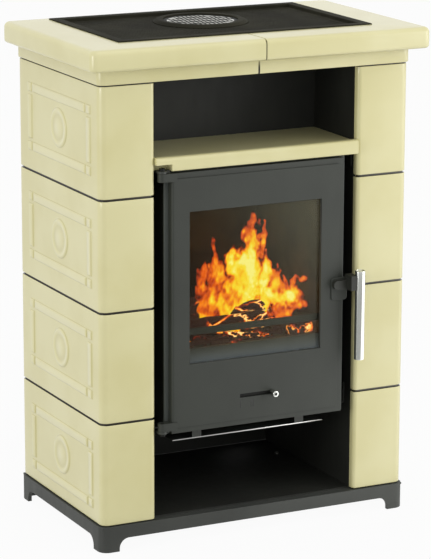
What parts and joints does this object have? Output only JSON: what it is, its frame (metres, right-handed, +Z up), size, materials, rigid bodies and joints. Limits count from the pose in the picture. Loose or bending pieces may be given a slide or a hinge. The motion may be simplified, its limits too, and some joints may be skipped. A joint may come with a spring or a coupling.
{
  "type": "tiled stove",
  "caption": "Free-standing wood stove clad in glazed tiles, with a hinged glass door, a niche above, an open wood store below, a perforated top plate and a plinth.",
  "frame": {"origin": "on the floor, at the middle of the overall width and depth, with the feet at z = 0", "axes": "+X to the right as seen from the front, +Y to the back, +Z up; the door faces -Y"},
  "size_m": [0.728, 0.4742, 0.9925],
  "materials": {
    "cream_glaze": "gloss",
    "plinth_paint": "satin",
    "black_sheet": "matte",
    "black_steel": "satin",
    "grey_steel": "satin",
    "door_paint": "satin",
    "satin_steel": "satin",
    "chrome": "polished",
    "dark_screw": "satin",
    "perforated_steel": "satin",
    "firebrick": "matte",
    "cast_iron": "matte",
    "fire_glass": "polished",
    "seal_rope": "matte",
    "split_wood": "matte"
  },
  "bodies": {
    "stove": {"plinth_frame": "plinth_paint", "base_plate": "black_sheet", "base_screws": "satin_steel", "crown_left": "cream_glaze", "crown_right": "cream_glaze", "top_plate": "black_steel", "casing_left": "black_sheet", "casing_right": "black_sheet", "back_panel": "black_sheet", "niche_liner": "black_sheet", "shelf": "cream_glaze", "shelf_rails": "black_sheet", "firebox_body": "black_steel", "front_frame": "grey_steel", "firebox_rails": "black_sheet", "brick_left": "firebrick", "brick_right": "firebrick", "brick_back": "firebrick", "brick_floor": "firebrick", "grate": "cast_iron", "baffle": "firebrick", "ash_pan": "black_steel", "log_guard": "grey_steel", "firewood": "split_wood", "rear_collar": "black_steel", "blanking_plate": "black_steel", "heat_shield": "grey_steel", "bracket_upper": "grey_steel", "bracket_lower": "grey_steel", "hinge_pins": "satin_steel", "latch_keeper": "satin_steel", "tile_left_1": "cream_glaze", "tile_left_2": "cream_glaze", "tile_left_3": "cream_glaze", "tile_left_4": "cream_glaze", "tile_right_1": "cream_glaze", "tile_right_2": "cream_glaze", "tile_right_3": "cream_glaze", "tile_right_4": "cream_glaze"},
    "door": {"door_frame": "door_paint", "glass_seal": "seal_rope", "door_glass": "fire_glass", "glass_clips": "satin_steel", "door_seal": "seal_rope", "lug_upper": "door_paint", "lug_lower": "door_paint", "air_guide": "black_steel", "latch_plate": "door_paint", "latch_bush": "satin_steel"},
    "handle": {"handle_arm": "black_steel", "handle_grip": "chrome", "grip_plugs": "chrome", "latch_shaft": "satin_steel", "latch_cam": "satin_steel"},
    "air_slider": {"air_slide": "satin_steel", "air_knob": "chrome", "knob_screw": "dark_screw"},
    "flue_cap": {"flue_ring": "black_steel", "flue_cover": "perforated_steel"}
  },
  "joints": [
    {"name": "door_hinge", "type": "hinge", "parent": "stove", "child": "door", "pos_m": [-0.205, -0.1924, 0.48], "axis": [0, 0, -1], "range_deg": [0, 110]},
    {"name": "handle_turn", "type": "hinge", "parent": "door", "child": "handle", "pos_m": [0.178, -0.2029, 0.487], "axis": [0, -1, 0], "range_deg": [0, 60]},
    {"name": "air_slide_travel", "type": "slide", "parent": "door", "child": "air_slider", "axis": [-1, 0, 0], "range_m": [0, 0.064]},
    {"name": "flue_cap_lift", "type": "slide", "parent": "stove", "child": "flue_cap", "axis": [0, 0, 1], "range_m": [0, 0.1]}
  ]
}
